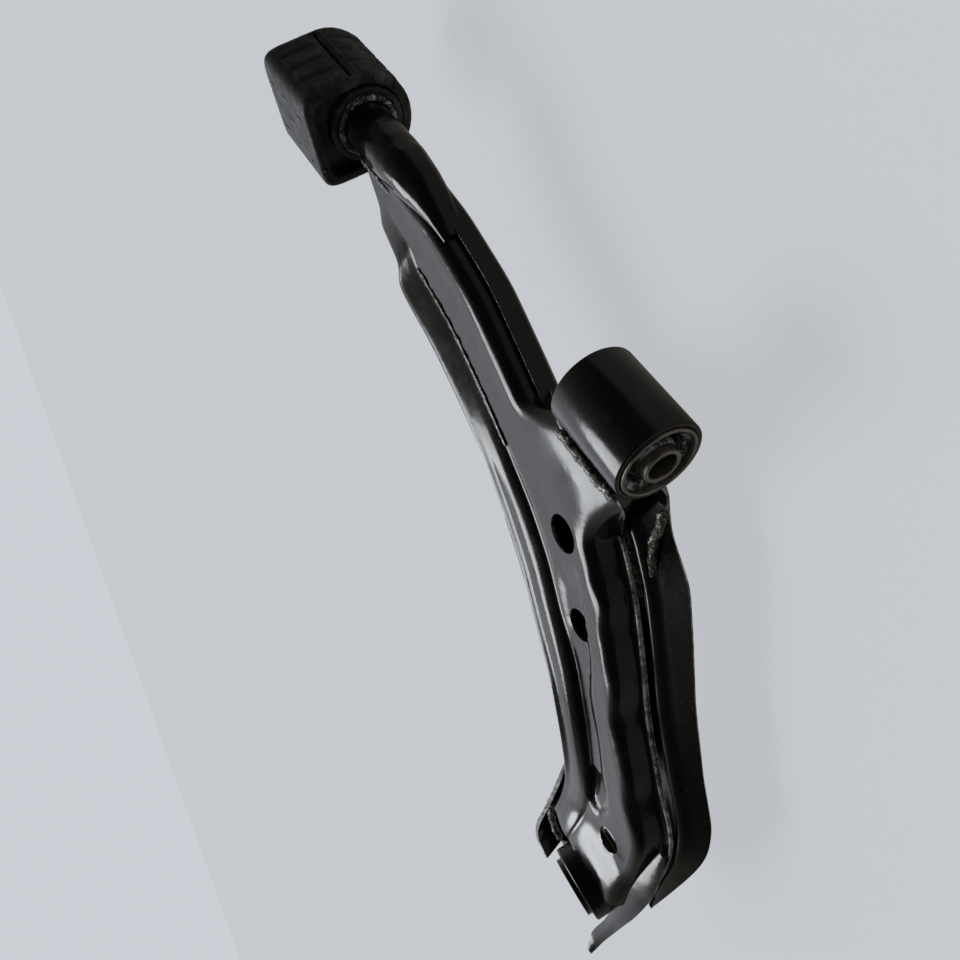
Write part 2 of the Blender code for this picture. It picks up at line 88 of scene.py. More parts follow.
# Stations along the beam: outboard edge, inboard corner, floor height, lip height, front flange reach
STATIONS = (
    ((-16.0, 250.0), (-3.0, 246.0), 10.0, 0.0, 0.0),
    ((-33.0, 238.0), (-5.0, 226.0), 8.0, 0.0, 0.0),
    ((-45.0, 233.0), (-7.0, 219.0), 7.0, 0.0, 0.0),
    ((-54.0, 206.0), (-12.0, 188.0), 5.0, 0.0, 0.0),
    ((-67.0, 200.0), (-15.0, 178.0), 4.0, 1.0, 0.0),
    ((-80.0, 160.0), (-28.0, 136.0), 2.0, 4.0, 0.0),
    ((-96.0, 124.0), (-48.0, 98.0), 1.0, 7.0, 0.0),
    ((-112.0, 96.0), (-69.0, 60.0), 0.0, 8.0, 0.0),
    ((-134.0, 68.0), (-82.0, 22.0), 0.0, 8.0, 40.0),
    ((-156.0, 42.0), (-98.0, -2.0), 0.0, 8.0, 26.0),
    ((-182.0, 20.0), (-122.0, -22.0), 0.0, 8.0, 33.0),
    ((-210.0, -6.0), (-152.0, -40.0), 0.0, 8.0, 32.0),
    ((-240.0, -26.0), (-190.0, -60.0), 0.0, 8.0, 29.0),
    ((-266.0, -36.0), (-222.0, -82.0), 0.0, 6.0, 25.0),
    ((-290.0, -38.0), (-258.0, -108.0), 0.0, 3.0, 20.0),
    ((-328.0, -38.0), (-326.0, -114.0), 0.0, 2.0, 6.0),
)
FIRST_FRONT_STATION = 8  # the front flange and the wavy wall start here
ROWS_PER_SPAN = 16
FLOOR_COLUMNS = slice(27, 47)  # the part of the upper stamping's section that is floor
SADDLE_REACH = (59.0, 78.0)  # inboard corner to the bush tube, at the saddle's two ends


# ---------------------------------------------------------------- materials


class Nodes:
    """Short calls for a material's node tree."""

    def __init__(self, name):
        self.material = bpy.data.materials.new(name)
        self.material.use_nodes = True
        self.tree = self.material.node_tree
        self.shader = self.tree.nodes["Principled BSDF"]
        self.place = self.add("ShaderNodeTexCoord").outputs["Object"]

    def add(self, kind, **settings):
        node = self.tree.nodes.new(kind)
        for key, value in settings.items():
            setattr(node, key, value)
        return node

    def link(self, source, target):
        self.tree.links.new(source, target)

    def noise(self, scale, detail=4.0, rough=0.55, distortion=0.0, stretch=None):
        node = self.add("ShaderNodeTexNoise")
        node.inputs["Scale"].default_value = scale
        node.inputs["Detail"].default_value = detail
        node.inputs["Roughness"].default_value = rough
        node.inputs["Distortion"].default_value = distortion
        source = self.place
        if stretch:
            mapping = self.add("ShaderNodeMapping")
            mapping.inputs["Scale"].default_value = stretch
            self.link(source, mapping.inputs["Vector"])
            source = mapping.outputs["Vector"]
        self.link(source, node.inputs["Vector"])
        return node.outputs["Fac"]

    def cells(self, scale, feature="F1"):
        node = self.add("ShaderNodeTexVoronoi", feature=feature)
        node.inputs["Scale"].default_value = scale
        self.link(self.place, node.inputs["Vector"])
        return node.outputs["Distance"]

    def ramp(self, source, low, high, start=0.0, end=1.0):
        node = self.add("ShaderNodeMapRange")
        node.inputs["From Min"].default_value = low
        node.inputs["From Max"].default_value = high
        node.inputs["To Min"].default_value = start
        node.inputs["To Max"].default_value = end
        self.link(source, node.inputs["Value"])
        return node.outputs["Result"]

    def colours(self, source, first, second):
        node = self.add("ShaderNodeMix", data_type="RGBA")
        if isinstance(first, tuple):
            node.inputs[6].default_value = (*first, 1.0)
        else:
            self.link(first, node.inputs[6])
        node.inputs[7].default_value = (*second, 1.0)
        self.link(source, node.inputs[0])
        return node.outputs[2]

    def bump(self, source, strength, distance, after=None):
        node = self.add("ShaderNodeBump")
        node.inputs["Strength"].default_value = strength
        node.inputs["Distance"].default_value = distance
        self.link(source, node.inputs["Height"])
        if after is not None:
            self.link(after, node.inputs["Normal"])
        return node.outputs["Normal"]

    def finish(
        self, colour, roughness, normal=None, metallic=0.0, coat=0.0, coat_roughness=0.05, specular=0.5
    ):
        self.link(colour, self.shader.inputs["Base Color"])
        self.link(roughness, self.shader.inputs["Roughness"])
        self.shader.inputs["Metallic"].default_value = metallic
        self.shader.inputs["Coat Weight"].default_value = coat
        self.shader.inputs["Coat Roughness"].default_value = coat_roughness
        self.shader.inputs["Specular IOR Level"].default_value = specular
        if normal is not None:
            self.link(normal, self.shader.inputs["Normal"])
        return self.material


def paint_material():
    """Glossy black dip coat: slight orange peel, pale dust and a few specks."""
    n = Nodes("black_paint")
    dust = n.ramp(n.noise(60, 6, 0.7), 0.52, 0.8, 0.0, 0.35)
    specks = n.ramp(n.cells(420), 0.10, 0.05)
    colour = n.colours(dust, (0.004, 0.004, 0.005), (0.030, 0.028, 0.026))
    colour = n.colours(n.ramp(n.noise(900, 2), 0.70, 0.76, 0.0, 0.6), colour, (0.16, 0.15, 0.13))
    roughness = n.ramp(n.noise(35, 5, 0.6), 0.3, 0.75, 0.12, 0.26)
    normal = n.bump(n.noise(240, 3, 0.5), 0.10, 0.0006)
    normal = n.bump(n.noise(28, 3, 0.5), 0.25, 0.002, normal)
    normal = n.bump(specks, 0.25, 0.0004, normal)
    return n.finish(colour, roughness, normal)


def edge_material():
    """Cut edge of the sheet: thin paint over sheared steel."""
    n = Nodes("cut_edge")
    streaks = n.noise(160, 6, 0.7, 0.4)
    colour = n.colours(n.ramp(streaks, 0.40, 0.62), (0.05, 0.048, 0.045), (0.50, 0.50, 0.48))
    roughness = n.ramp(n.noise(300, 4), 0.3, 0.7, 0.25, 0.55)
    normal = n.bump(n.noise(500, 5, 0.7), 0.6, 0.0008)
    return n.finish(colour, roughness, normal, metallic=0.55, coat=0.4)


def weld_material():
    """Weld bead under the coat: shiny and lumpy, brown in patches, with pale golden spots that are painted
    highlights standing in for glints.
    """
    n = Nodes("weld")
    brown = n.ramp(n.noise(190, 4, 0.6), 0.50, 0.62)
    colour = n.colours(brown, (0.010, 0.010, 0.010), (0.085, 0.060, 0.030))
    # pale golden spots at random: painted highlights, glints painted into the colour
    colour = n.colours(n.ramp(n.noise(420, 3, 0.6), 0.58, 0.68), colour, (0.50, 0.46, 0.38))
    roughness = n.ramp(n.noise(260, 4, 0.6), 0.35, 0.7, 0.14, 0.5)
    normal = n.bump(n.noise(380, 6, 0.7), 0.9, 0.0016)
    return n.finish(colour, roughness, normal, metallic=0.35, coat=0.6, coat_roughness=0.12)


def rubber_material():
    """Matte moulded rubber with dust in its grain."""
    n = Nodes("rubber")
    patches = n.ramp(n.noise(75, 6, 0.7), 0.50, 0.72, 0.0, 0.6)
    colour = n.colours(patches, (0.012, 0.012, 0.013), (0.085, 0.088, 0.085))
    colour = n.colours(n.ramp(n.noise(700, 3, 0.6), 0.66, 0.74, 0.0, 0.55), colour, (0.20, 0.20, 0.18))
    roughness = n.ramp(n.noise(120, 4), 0.3, 0.7, 0.46, 0.72)
    normal = n.bump(n.noise(420, 5, 0.65), 0.45, 0.0008)
    return n.finish(colour, roughness, normal, specular=0.4)


def rough_rubber_material():
    """Torn, greasy rubber skin with bright mottles."""
    n = Nodes("rough_rubber")
    mottles = n.ramp(n.noise(230, 7, 0.75, 0.6), 0.50, 0.60)
    colour = n.colours(mottles, (0.016, 0.017, 0.016), (0.46, 0.48, 0.45))
    roughness = n.ramp(n.noise(300, 4), 0.3, 0.7, 0.18, 0.5)
    normal = n.bump(n.noise(330, 7, 0.75), 1.0, 0.0022)
    return n.finish(colour, roughness, normal, coat=0.3)


def steel_material():
    """Turned bare steel, lightly oiled."""
    n = Nodes("bare_steel")
    turning = n.noise(160, 5, 0.6, 0.0, (1.0, 12.0, 1.0))
    colour = n.colours(n.ramp(turning, 0.3, 0.7), (0.20, 0.195, 0.18), (0.46, 0.45, 0.43))
    roughness = n.ramp(n.noise(90, 5, 0.6), 0.3, 0.7, 0.28, 0.46)
    normal = n.bump(n.noise(900, 3), 0.15, 0.0003)
    return n.finish(colour, roughness, normal, metallic=1.0)


def dark_steel_material():
    """Black coated turned steel of the ball joint."""
    n = Nodes("dark_steel")
    colour = n.colours(n.ramp(n.noise(80, 5), 0.4, 0.75), (0.005, 0.005, 0.006), (0.028, 0.026, 0.024))
    roughness = n.ramp(n.noise(140, 4), 0.3, 0.7, 0.22, 0.42)
    normal = n.bump(n.noise(600, 4), 0.2, 0.0004)
    return n.finish(colour, roughness, normal, coat=0.5, coat_roughness=0.12)


def plastic_material():
    """Ivory plastic of the ball's seat."""
    n = Nodes("seat_plastic")
    colour = n.colours(n.ramp(n.noise(150, 4), 0.3, 0.7), (0.62, 0.60, 0.55), (0.74, 0.73, 0.68))
    roughness = n.ramp(n.noise(300, 3), 0.3, 0.7, 0.38, 0.52)
    return n.finish(colour, roughness, n.bump(n.noise(800, 3), 0.1, 0.0003))


def floor_material():
    """Pale board that glows a little, so shadows stay faint, and mirrors warm and dim in the paint."""
    n = Nodes("pale_board")
    colour = n.colours(n.ramp(n.noise(3, 4), 0.3, 0.7), (0.090, 0.096, 0.108), (0.096, 0.102, 0.114))
    mirrored = n.add("ShaderNodeLightPath").outputs["Is Glossy Ray"]
    n.link(n.colours(mirrored, (0.93, 0.96, 1.0), (0.20, 0.17, 0.12)), n.shader.inputs["Emission Color"])
    n.shader.inputs["Emission Strength"].default_value = 0.54
    return n.finish(colour, n.ramp(n.noise(40, 3), 0.3, 0.7, 0.8, 0.95), specular=0.0)


PAINT = paint_material()
EDGE = edge_material()
WELD = weld_material()
RUBBER = rubber_material()
ROUGH_RUBBER = rough_rubber_material()
STEEL = steel_material()
DARK_STEEL = dark_steel_material()
PLASTIC = plastic_material()


# ---------------------------------------------------------------- mesh helpers


def mix(a, b, share):
    return a + (b - a) * share


def smoothstep(low, high, value):
    t = np.clip((value - low) / (high - low), 0.0, 1.0)
    return t * t * (3 - 2 * t)


def blur(grid, axis, passes):
    """Averages each point with its neighbours along one axis; the ends stay."""
    grid = np.moveaxis(grid.copy(), axis, 0)
    for _ in range(passes):
        grid[1:-1] = 0.25 * grid[:-2] + 0.5 * grid[1:-1] + 0.25 * grid[2:]
    return np.moveaxis(grid, 0, axis)


def refine(points, counts):
    """Splits each leg of a polyline evenly; points may hold many polylines, on the axis before the last."""
    points = np.asarray(points, float)
    made = [points[..., :1, :]]
    for leg, count in enumerate(counts):
        for step in range(1, count + 1):
            made.append(mix(points[..., leg : leg + 1, :], points[..., leg + 1 : leg + 2, :], step / count))
    return np.concatenate(made, axis=-2)


def smooth_path(points, steps=8):
    """Points on a Catmull-Rom curve through the given ones."""
    points = [Vector(point) for point in points]
    ends = [points[0] * 2 - points[1], *points, points[-1] * 2 - points[-2]]
    made = []
    for a, b, c, d in zip(ends, ends[1:], ends[2:], ends[3:]):
        for step in range(steps):
            t = step / steps
            square, cube = 2 * a - 5 * b + 4 * c - d, 3 * b - a - 3 * c + d
            made.append(0.5 * (2 * b + (c - a) * t + square * t**2 + cube * t**3))
    return made + [points[-1]]


def object_from(name, points, faces, materials, indices=None):
    mesh = bpy.data.meshes.new(name)
    mesh.from_pydata([tuple(point) for point in np.asarray(points) * MM], [], faces)
    for material in materials:
        mesh.materials.append(material)
    if indices is not None:
        mesh.polygons.foreach_set("material_index", indices)
    made = bpy.data.objects.new(name, mesh)
    bpy.context.scene.collection.objects.link(made)
    return made


def orient(made, angle=40):
    """Makes the faces point out and shades the piece smooth up to the angle."""
    build = bmesh.new()
    build.from_mesh(made.data)
    bmesh.ops.remove_doubles(build, verts=build.verts, dist=1e-6)
    bmesh.ops.recalc_face_normals(build, faces=build.faces)
    build.to_mesh(made.data)
    build.free()
    made.data.shade_smooth()
    made.data.set_sharp_from_angle(angle=math.radians(angle))
    return made


def grid_faces(rows, columns, wrap_rows=False, wrap_columns=False):
    faces = []
    for i in range(rows if wrap_rows else rows - 1):
        for j in range(columns if wrap_columns else columns - 1):
            a, b = i * columns + j, i * columns + (j + 1) % columns
            c, d = (i + 1) % rows * columns + j, (i + 1) % rows * columns + (j + 1) % columns
            faces.append((a, c, d, b))
    return faces


def applied(made):
    """The piece with its modifiers worked into its mesh."""
    graph = bpy.context.evaluated_depsgraph_get()
    mesh = bpy.data.meshes.new_from_object(made.evaluated_get(graph))
    made.modifiers.clear()
    made.data = mesh
    return made


def cut_round(made, place, axis, radius, low=-1e9, high=1e9):
    """Cuts a round hole in an open sheet: faces inside go, and the rim moves onto the circle."""
    build = bmesh.new()
    build.from_mesh(made.data)
    place, axis = Vector(place) * MM, Vector(axis).normalized()

    def off(point):
        away = point - place
        along = away.dot(axis)
        return away - axis * along, along / MM

    gone = []
    for face in build.faces:
        side, along = off(face.calc_center_median())
        if side.length < radius * MM and low < along < high:
            gone.append(face)
    rims = {vert for face in gone for vert in face.verts}
    bmesh.ops.delete(build, geom=gone, context="FACES")
    for vert in rims:
        if vert.is_valid and vert.link_faces:
            side, _ = off(vert.co)
            if side.length > 1e-6:
                vert.co += side.normalized() * (radius * MM - side.length)
    build.to_mesh(made.data)
    build.free()


def thicken(made, thickness=SHEET, rim=1):
    solid = made.modifiers.new("thickness", "SOLIDIFY")
    solid.thickness = thickness * MM
    solid.offset = -1.0
    solid.use_even_offset = True
    solid.thickness_clamp = 1.0
    solid.material_offset_rim = rim
    made.data.shade_smooth()
    applied(made)
    made.data.set_sharp_from_angle(angle=math.radians(38))
    return made


def turned(name, profile, matrix, materials, steps=96, indices=None):
    """A closed profile of (radius, height) turned about the matrix's Z."""
    angles = np.linspace(0, 2 * math.pi, steps, endpoint=False)
    rings = []
    for angle in angles:
        rings.append([(r * math.cos(angle), r * math.sin(angle), h) for r, h in profile])
    points = np.array(rings).reshape(-1, 3)
    faces = grid_faces(steps, len(profile), True, True)
    made = object_from(name, points, faces, materials, indices * steps if indices else None)
    made.data.transform(matrix)
    return orient(made)


def ring(inner, outer, low, high, ease=0.8, steps=3):
    """A tube's section with rounded corners."""
    made = []
    for r, h, start in ((outer, high, 0), (inner, high, 1), (inner, low, 2), (outer, low, 3)):
        cr, ch = r + (ease if start in (1, 2) else -ease), h + (-ease if start in (0, 1) else ease)
        for step in range(steps + 1):
            angle = math.pi / 2 * (start + step / steps)
            made.append((cr + ease * math.cos(angle), ch + ease * math.sin(angle)))
    return made


def frame_y(y=0.0, x=0.0, z=0.0):
    """Z of this frame runs along the hinge axis."""
    return Matrix.Translation(Vector((x, y, z)) * MM) @ Matrix.Rotation(-math.pi / 2, 4, "X")


def ball_frame():
    """Z of this frame is the ball joint's axis, on the closed side."""
    return Matrix.Translation(BALL_PLACE * MM) @ Matrix.Rotation(-BALL_TILT, 4, "Y")


def swept(name, path, sizes, materials, lump=0.0, grain=3.0, sides=18, flat=1.0, seed=0.0):
    """A round bar along a path, each point with its own radius, made lumpy by noise."""
    path = [Vector(point) for point in path]
    points = []
    for i, point in enumerate(path):
        run = (path[min(i + 1, len(path) - 1)] - path[max(i - 1, 0)]).normalized()
        side = run.cross(UP)
        if side.length < 0.1:
            side = run.cross(Vector((1, 0, 0)))
        side.normalize()
        over = side.cross(run)
        for j in range(sides):
            angle = 2 * math.pi * j / sides
            away = side * math.cos(angle) + over * math.sin(angle) * flat
            where = point + away * sizes[i]
            rough = noise.fractal(where / grain + Vector((seed, 0, 0)), 0.8, 2.2, 3)
            points.append(point + away * sizes[i] * (1 + lump * rough))
    faces = grid_faces(len(path), sides, False, True)
    faces += [tuple(range(sides)), tuple(range((len(path) - 1) * sides, len(path) * sides))]
    return orient(object_from(name, points, faces, materials), 60)


def bead(name, points, radius, lump=0.35, seed=0.0, flat=0.75, pitch=3.4):
    """A weld bead: scale-like ripples with a lumpy outline and tapered ends."""
    path = smooth_path(points, 22)
    lengths = np.concatenate([[0], np.cumsum([(b - a).length for a, b in zip(path, path[1:])])])
    sizes = []
    for along in lengths:
        end = min(along, lengths[-1] - along) / (1.6 * radius)
        ripple = 1 + 0.10 * abs(math.sin(math.pi * along / pitch))
        sizes.append(radius * ripple * math.sqrt(min(1.0, max(end, 0.02))))
    return swept(name, path, sizes, [WELD], lump, 4.6, 18, flat, seed)


def place_piece(piece, body, slot, *nodes):
    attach(piece, body)
    if nodes:
        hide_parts(*nodes)
    return piece


# ---------------------------------------------------------------- pressed shells


def stations():
    """Station values at each fine row, with their corners eased."""
    table = np.array([(*edge, *corner, *rest) for edge, corner, *rest in STATIONS])
    rows = np.linspace(0, len(STATIONS) - 1, (len(STATIONS) - 1) * ROWS_PER_SPAN + 1)
    made = np.stack([np.interp(rows, range(len(STATIONS)), column) for column in table.T], axis=1)
    return rows, blur(made, 0, 14)


def sections(values, make):
    """Turns each row's outline points into world points. make gives (base, offset, height) lists."""
    grid = []
    for i, row in enumerate(values):
        edge, corner = row[0:2], row[2:4]
        run = corner - edge
        width = float(np.hypot(*run))
        outline = make(i, row, edge, corner, width)
        grid.append([(*(base + run / width * off), height) for base, off, height in outline])
    return np.array(grid)


def wave(rows, start, end, amount):
    """Ripples of the inboard wall, fading in and out between two stations."""
    fade = smoothstep(start, start + 0.8, rows) * (1 - smoothstep(end - 0.8, end, rows))
    return amount * fade * (np.sin(rows * 4.6) + 0.5 * np.sin(rows * 8.3 + 1.0))


def pocket(grid, x, y, long, short, turn, depth, columns):
    """Sinks an oval in the floor with firm edges."""
    c, s = math.cos(turn), math.sin(turn)
    dx, dy = grid[..., 0] - x, grid[..., 1] - y
    u, v = (dx * c + dy * s) / long, (dy * c - dx * s) / short
    inside = 1 - smoothstep(0.72, 1.0, np.hypot(u, v))
    grid[..., 2] -= depth * inside * columns


def crease(grid, points, depth, ease, columns):
    """Sinks the floor on the outboard side of a curve in plan."""
    path = np.array([tuple(point)[:2] for point in smooth_path([(*point, 0) for point in points], 6)])
    flat = grid[..., :2].reshape(-1, 2)
    best = np.full(len(flat), 1e9)
    signed = np.zeros(len(flat))
    along = np.zeros(len(flat))
    for k, (a, b) in enumerate(zip(path, path[1:])):
        run = b - a
        t = np.clip(((flat - a) @ run) / (run @ run), 0, 1)
        away = flat - (a + t[:, None] * run)
        distance = np.hypot(away[:, 0], away[:, 1])
        closer = distance < best
        side = np.sign(run[0] * away[:, 1] - run[1] * away[:, 0])
        signed = np.where(closer, side * distance, signed)
        along = np.where(closer, (k + t) / (len(path) - 1), along)
        best = np.minimum(best, distance)
    fade = smoothstep(0.0, 0.12, along) * (1 - smoothstep(0.88, 1.0, along))
    sunk = smoothstep(-ease, ease, -signed) * fade * (1 - smoothstep(16.0, 26.0, best))
    grid[..., 2] -= depth * sunk.reshape(grid.shape[:2]) * columns


def collar(grid, height, reach):
    """Lifts the stamping where it meets the ball joint's drum."""
    off = np.hypot(grid[..., 0] - BALL_PLACE.x, grid[..., 1] - BALL_PLACE.y)
    grid[..., 2] += height * (1 - smoothstep(24.0, reach, off))


def make_upper():
    """Upper stamping: rolled outboard lip, floor with holes and creases, wavy wall, and the saddle."""
    rows, values = stations()
    ripple = wave(rows, 8.6, 14.6, 1.5)
    saddle = smoothstep(6.45, 7.0, rows) * (1 - smoothstep(7.6, 8.9, rows))

    def outline(i, row, edge, corner, width):
        floor, lip = row[4], row[5]
        reach = min(LIP_WIDTH, 0.45 * width)
        inset = min(CORNER_EASE, 0.15 * width)
        wall, grip = ripple[i], saddle[i]
        rear = 1 - smoothstep(6.0, 8.0, rows[i])
        lip = mix(lip, 8.5 * smoothstep(1.0, 4.5, rows[i]), rear)
        stretch = mix(SADDLE_REACH[0], SADDLE_REACH[1], rows[i] - 7.0)

        def side(off, height, saddle_share, saddle_height):
            """A wall point that moves out to the bush tube where the saddle is."""
            out = mix(off, stretch * saddle_share, grip)
            return corner, out, mix(floor + height, saddle_height, grip)

        return (
            (edge, -1.0, floor - WALL_DROP + 6),
            (edge, 0.0, floor + lip - 3.0),
            (edge, 0.05 * reach, floor + lip),
            (edge, 0.2 * reach, floor + mix(lip * 0.62, lip * 0.84, rear)),
            (edge, 0.36 * reach, floor + mix(lip * 0.66, lip * 0.62, rear)),
            (edge, 0.56 * reach, floor + mix(lip * 0.60, lip * 0.34, rear)),
            (edge, 0.72 * reach, floor + mix(lip * 0.25, lip * 0.10, rear)),
            (edge, 0.80 * reach, floor - 0.9 * (1 - rear)),
            (edge, 0.86 * reach, floor),
            (edge, mix(reach, width, 0.5), floor),
            side(-inset + 0.6 * wall, 0.3, 0.0, 0.2),
            side(-0.3 * inset + wall, -1.2, 0.30, -0.6),
            side(0.6 + wall, -5.0, 0.62, -5.5),
            side(1.8 + 0.5 * wall, -13.0, 0.84, -6.0),
            side(2.4, -WALL_DROP + 2.2, 0.94, 3.0),
            side(3.4 + 1.4 * (1 - rear), -WALL_DROP + 0.4, 1.0, 10.5),
            side(4.0 + 4.0 * (1 - rear), -WALL_DROP, 1.03, 15.0),
        )

    grid = refine(sections(values, outline), (3, 3, 3, 5, 6, 5, 4, 2, 8, 9, 5, 4, 6, 5, 4, 4))
    grid = blur(blur(grid, 1, 3), 0, 2)
    columns = np.zeros(grid.shape[1])
    columns[FLOOR_COLUMNS] = 1.0
    columns = blur(columns, 0, 3)
    front_crease = (
        (-112, 6), (-134, -8), (-158, -22), (-172, -28), (-190, -34), (-215, -50), (-245, -66), (-268, -80)
    )
    crease(grid, front_crease, 1.6, 1.3, columns)
    pocket(grid, -262, -62, 20, 11, math.radians(25), 3.6, columns)
    collar(grid, 7.5, 62.0)
    made = object_from("upper_stamping", grid.reshape(-1, 3), grid_faces(*grid.shape[:2]), [PAINT, EDGE])
    for x, y, bore in HOLES:
        cut_round(made, (x, y, 0), UP, bore / 2, -12, 12)
    cut_round(made, BALL_PLACE, BALL_AXIS, DRUM_SEAT)
    cut_round(made, (0, 0, 0), (0, 1, 0), STUB_RADIUS + GAP, *STUB_SEAT)
    thicken(made)
    return place_piece(made, "arm", "black_paint", "upper_shell", "bush_saddle")


def make_lower():
    """Lower stamping: bottom of the box, lap at the rear, ridge and flange at the front."""
    _, values = stations()

    def outline(_, row, edge, corner, width):
        floor, flange = row[4], row[6]
        share = min(flange / 22.0, 1.0)
        bottom = floor - mix(REAR_DEPTH, BEAM_DEPTH, share)
        inset = min(5.0, 0.3 * width)
        ease = min(CORNER_EASE, 0.15 * width)
        lap = 5.6
        rear = ((lap, bottom + 6), *((lap, floor - drop) for drop in (20.5, 17, 14, 11)))
        front = (
            (3.0, bottom + 4.0),
            (5.0, bottom + 13.0),
            (12.0, bottom + 15.0),
            (16.5, bottom + 9.0),
            (max(flange, 25.0), bottom + 1.5),
        )
        made = [
            (edge, inset, floor - 9.0),
            (edge, inset, bottom + 7.0),
            (edge, inset + ease, bottom),
            (edge, width * 0.6, bottom),
            (corner, -0.3 * ease, bottom),
        ]
        for back, fore in zip(rear, front):
            made.append((corner, mix(back[0], fore[0], share), mix(back[1], fore[1], share)))
        return made

    grid = refine(sections(values, outline), (5, 5, 9, 7, 4, 6, 6, 6, 8))
    grid = blur(blur(grid, 1, 4), 0, 2)[:, ::-1]
    made = object_from("lower_stamping", grid.reshape(-1, 3), grid_faces(*grid.shape[:2]), [PAINT, EDGE])
    cut_round(made, BALL_PLACE, BALL_AXIS, DRUM_SEAT)
    cut_round(made, BALL_PLACE, BALL_AXIS, BOOT_ROOM, -90, -16)
    cut_round(made, (0, 0, 0), (0, 1, 0), STUB_RADIUS + GAP, *STUB_SEAT)
    thicken(made, LAP_SHEET)
    return place_piece(made, "arm", "black_paint", "lower_shell")


def strip(name, centre, across, half_widths, body_node, crown=0.0, turn_in=0.0, columns=9):
    """A curved ribbon of sheet: a smooth centre line, a direction across and a half width at each point.

    turn_in is the length of a flange from its low edge towards -Y.
    """
    count = 10
    path = smooth_path(centre, count)
    over = smooth_path(across, count)
    half = smooth_path([(value, 0, 0) for value in half_widths], count)
    grid = []
    for point, side, size in zip(path, over, half):
        side = side.normalized()
        row = []
        for j in range(columns):
            u = 2 * j / (columns - 1) - 1
            row.append(tuple(point + side * u * size.x - UP * crown * u * u))
        if turn_in:
            low = Vector(row[0])
            inward = Vector((0.1, -1, 0.12)) * turn_in
            row = [tuple(low + inward * k / 8) for k in range(8, 0, -1)] + row
        grid.append(row)
    grid = np.array(grid)
    made = object_from(name, grid.reshape(-1, 3), grid_faces(*grid.shape[:2]), [PAINT, EDGE])
    thicken(made)
    return place_piece(made, "arm", "black_paint", body_node)


def make_ears():
    """Ear behind the ball joint and tongue in front of it."""
    rear = ((-268, -31), (-290, -31), (-330, -30), (-368, -27.5), (-390, -32), (-403, -45))
    heights = ((-22, 5), (-22, 6), (-24, 8), (-24, 8), (-21, 6), (-17, 3))
    centre = [(x, y, (low + high) / 2) for (x, y), (low, high) in zip(rear, heights)]
    half = [(high - low) / 2 for low, high in heights]
    leaning = [(0.0, -0.4, 1.0)] * len(centre)
    strip("rear_ear", centre, leaning, half, "outer_rear_ear", turn_in=22.0)
    front = (  # x, y, z and half width
        (-262, -113.0, -14.0, 3.0),
        (-278, -115.5, -10.0, 6.0),
        (-294, -117.0, -6.0, 8.0),
        (-310, -117.0, -3.0, 8.5),
        (-328, -116.5, -1.6, 8.0),
        (-346, -116.0, -1.2, 6.4),
        (-370, -114.5, -1.2, 5.2),
        (-392, -112.5, 0.5, 5.0),
        (-404, -112.5, 2.4, 4.4),
        (-413, -114.5, 6.0, 2.6),
    )
    centre = [point[:3] for point in front]
    half = [point[3] for point in front]
    level = [(0.0, -1.0, -0.12)] * len(front)
    strip("front_tongue", centre, level, half, "outer_front_flange", crown=0.4)


def make_web():
    """Short plate below the bush tube."""
    profile = ((-26.4, -3.0), (-28.0, -12.0), (-38.0, -22.0), (-54.0, -28.0))
    web = [[(x, y, z) for x, z in profile] for y in (26, 12, -4, -18)]
    columns = [smooth_path(column, 8) for column in zip(*web)]
    grid = np.array([smooth_path(row, 8) for row in zip(*columns)])
    made = object_from("web_plate", grid.reshape(-1, 3), grid_faces(*grid.shape[:2]), [PAINT, EDGE])
    thicken(made)
    place_piece(made, "arm", "black_paint", "bush_web")


# ---------------------------------------------------------------- front bush


def make_front_bush():
    """Tube, outer sleeve, inner sleeve and the rubber between them."""
    matrix = frame_y()
    tube = ring(TUBE_RADIUS - TUBE_WALL, TUBE_RADIUS, -TUBE_HALF, TUBE_HALF, 0.9)
    made = turned("bush_tube", tube, matrix, [PAINT], 120)
    place_piece(made, "arm", "black_paint", "front_bush_housing")
    outer = TUBE_RADIUS - TUBE_WALL - GAP
    sleeve = ring(outer - OUTER_SLEEVE_WALL, outer, -TUBE_HALF - 1.0, TUBE_HALF + 1.0, 0.5)
    made = turned("bush_outer_ring", sleeve, matrix, [STEEL], 120)
    place_piece(made, "arm", "bare_steel", "front_bush_outer_sleeve")
    inner_half = 1000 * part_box("front_bush_inner_sleeve")[1].y
    inner_radius = 1000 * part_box("front_bush_inner_sleeve")[1].x
    sleeve = ring(INNER_SLEEVE_BORE, inner_radius, -inner_half, inner_half, 0.7)
    made = turned("bush_inner_sleeve", sleeve, matrix, [STEEL], 96)
    place_piece(made, "front_sleeve", "bare_steel", "front_bush_inner_sleeve")
    make_front_rubber(matrix, outer - OUTER_SLEEVE_WALL - GAP, inner_radius + GAP)


